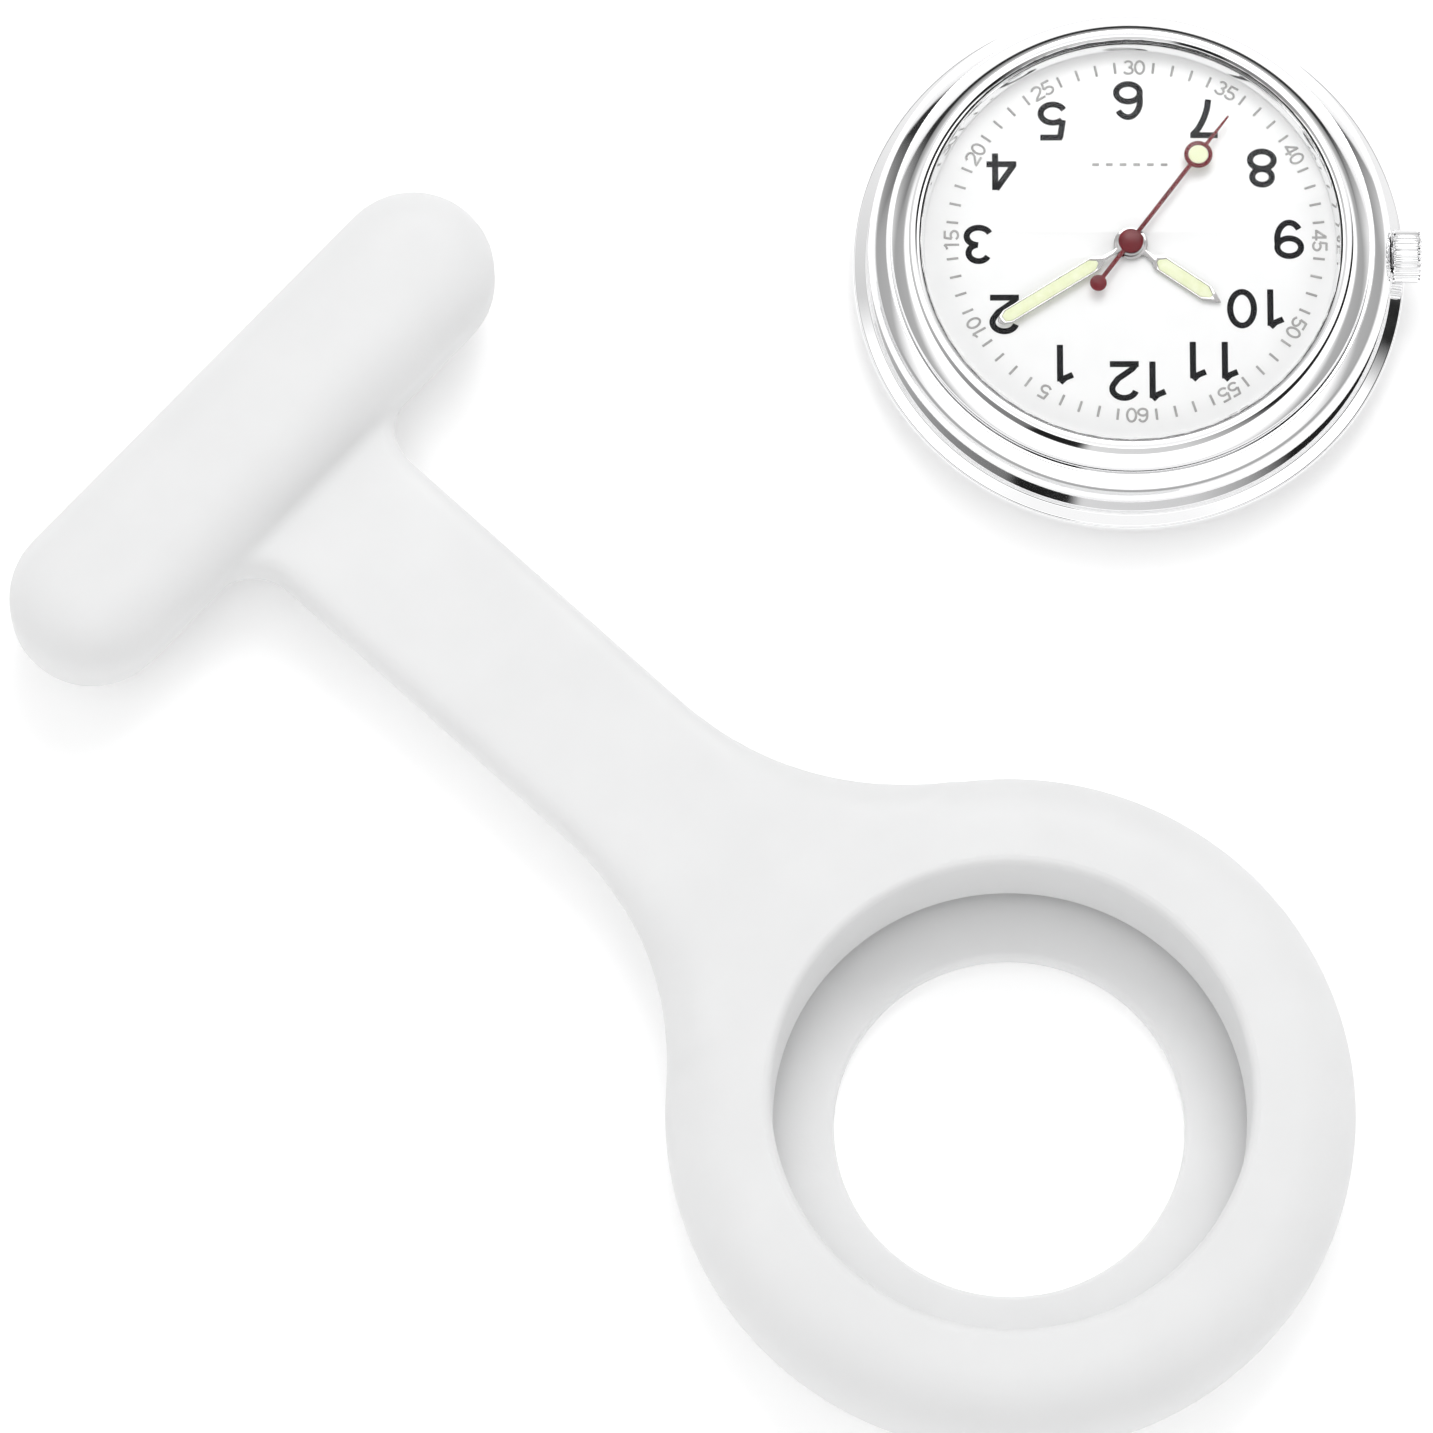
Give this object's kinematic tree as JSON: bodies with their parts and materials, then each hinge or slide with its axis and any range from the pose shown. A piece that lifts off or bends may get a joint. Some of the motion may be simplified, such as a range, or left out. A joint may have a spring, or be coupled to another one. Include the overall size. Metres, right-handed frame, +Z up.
{
  "type": "fob watch",
  "caption": "Silicone fob watch holder with a brooch pin bar, strap and ring, and a round chrome quartz watch lying beside it, which presses into the ring.",
  "frame": {"origin": "middle of the whole part's footprint, on the surface that the holder and the watch lie on", "axes": "+Y along the strap from the ring to the brooch bar, +Z up out of the dial and the front of the holder, +X along the bar towards the loose watch"},
  "size_m": [0.0812, 0.0862, 0.009],
  "materials": {
    "silicone": "matt white silicone",
    "chrome": "polished",
    "steel": "satin",
    "brass": "satin",
    "copper": "enamelled wire winding",
    "dial_white": "matt white with printed numbers",
    "lume": "luminous paint",
    "hand_red": "gloss",
    "crystal": "clear, polished",
    "seal_rubber": "matt",
    "spacer_plastic": "moulded",
    "board": "solder mask",
    "resin": "matt"
  },
  "bodies": {
    "ring": {"silicone_ring": "silicone", "silicone_strap": "silicone"},
    "bar": {"silicone_bar": "silicone", "brooch_strip": "steel", "pin_hinge_bracket": "steel", "pin_rivet": "steel", "catch_bracket": "steel"},
    "pin": {"brooch_pin": "steel"},
    "catch": {"catch_roller": "steel"},
    "watch": {"case_body": "chrome", "bezel": "chrome", "crystal": "crystal", "crystal_gasket": "seal_rubber", "rehaut_ring": "chrome", "case_back_gasket": "seal_rubber", "crown_tube": "steel", "movement_spacer": "spacer_plastic", "dial": "dial_white", "main_plate": "brass", "train_bridge": "steel", "bridge_screw_1": "steel", "bridge_screw_2": "steel", "bridge_screw_3": "steel", "battery": "steel", "battery_clip": "steel", "circuit_board": "board", "ic_chip": "resin", "quartz_crystal": "steel", "coil_winding": "copper", "coil_core": "steel", "stator": "steel"},
    "back": {"case_back": "steel"},
    "seconds": {"fourth_wheel": "brass", "second_hand": "hand_red", "second_hand_lume": "lume", "second_hand_cap": "hand_red"},
    "minutes": {"centre_wheel": "brass", "minute_hand": "chrome", "minute_hand_lume": "lume"},
    "hours": {"hour_wheel": "brass", "hour_hand": "chrome", "hour_hand_lume": "lume"},
    "third": {"third_wheel": "brass"},
    "fifth": {"fifth_wheel": "brass"},
    "motor": {"rotor": "steel"},
    "motion": {"minute_wheel": "brass"},
    "setting": {"setting_lever": "steel"},
    "winder": {"crown": "chrome", "crown_gasket": "seal_rubber", "stem": "steel", "sliding_pinion": "steel"}
  },
  "joints": [
    {"name": "strap_flex", "type": "hinge", "parent": "ring", "child": "bar", "pos_m": [-0.0203, 0.01717, 0.0043], "axis": [1, 0, 0], "range_deg": [0, 90], "stiffness_Nm_per_rad": 0.0016, "deforming": ["silicone_strap"]},
    {"name": "watch_seat", "type": "hinge", "parent": "ring", "child": "watch", "pos_m": [0.0371, -0.05812, 0], "axis": [0, 0, 1], "range_deg": [0, 47.2], "deforming": ["silicone_ring"]},
    {"name": "pin_open", "type": "hinge", "parent": "bar", "child": "pin", "pos_m": [-0.0077, 0.03837, 0.00095], "axis": [0, -1, 0], "range_deg": [0, 70]},
    {"name": "catch_turn", "type": "hinge", "parent": "bar", "child": "catch", "pos_m": [-0.0329, 0.03837, 0.00095], "axis": [-1, 0, 0], "range_deg": [0, 90]},
    {"name": "back_off", "type": "slide", "parent": "watch", "child": "back", "axis": [0, 0, -1], "range_m": [0, 0.006]},
    {"name": "crown_pull", "type": "slide", "parent": "watch", "child": "setting", "axis": [0.6794, -0.7337, 0], "range_m": [0, 0.0008]},
    {"name": "crown_turn", "type": "hinge", "parent": "setting", "child": "winder", "pos_m": [0.03215, -0.00083, 0.0039], "axis": [0.6794, -0.7337, 0], "continuous": true},
    {"name": "seconds_turn", "type": "hinge", "parent": "watch", "child": "seconds", "pos_m": [0.024, 0.00797, 0.0065], "axis": [0, 0, -1], "continuous": true},
    {"name": "minutes_turn", "type": "hinge", "parent": "watch", "child": "minutes", "pos_m": [0.024, 0.00797, 0.0063], "axis": [0, 0, -1], "continuous": true},
    {"name": "hours_turn", "type": "hinge", "parent": "watch", "child": "hours", "pos_m": [0.024, 0.00797, 0.0061], "axis": [0, 0, -1], "continuous": true},
    {"name": "third_turn", "type": "hinge", "parent": "watch", "child": "third", "pos_m": [0.0201, 0.00709, 0.0032], "axis": [0, 0, -1], "continuous": true},
    {"name": "fifth_turn", "type": "hinge", "parent": "watch", "child": "fifth", "pos_m": [0.02656, 0.00666, 0.0032], "axis": [0, 0, -1], "continuous": true},
    {"name": "motor_turn", "type": "hinge", "parent": "watch", "child": "motor", "pos_m": [0.02889, 0.00764, 0.003], "axis": [0, 0, -1], "continuous": true},
    {"name": "motion_turn", "type": "hinge", "parent": "watch", "child": "motion", "pos_m": [0.02469, 0.00493, 0.0049], "axis": [0, 0, -1], "continuous": true}
  ],
  "couplings": [
    {"joint": "third_turn", "follows": "seconds_turn", "ratio": -0.125},
    {"joint": "minutes_turn", "follows": "seconds_turn", "ratio": 0.016667},
    {"joint": "motion_turn", "follows": "seconds_turn", "ratio": -0.0055556},
    {"joint": "hours_turn", "follows": "seconds_turn", "ratio": 0.0013889},
    {"joint": "fifth_turn", "follows": "seconds_turn", "ratio": -5},
    {"joint": "motor_turn", "follows": "seconds_turn", "ratio": 30}
  ]
}
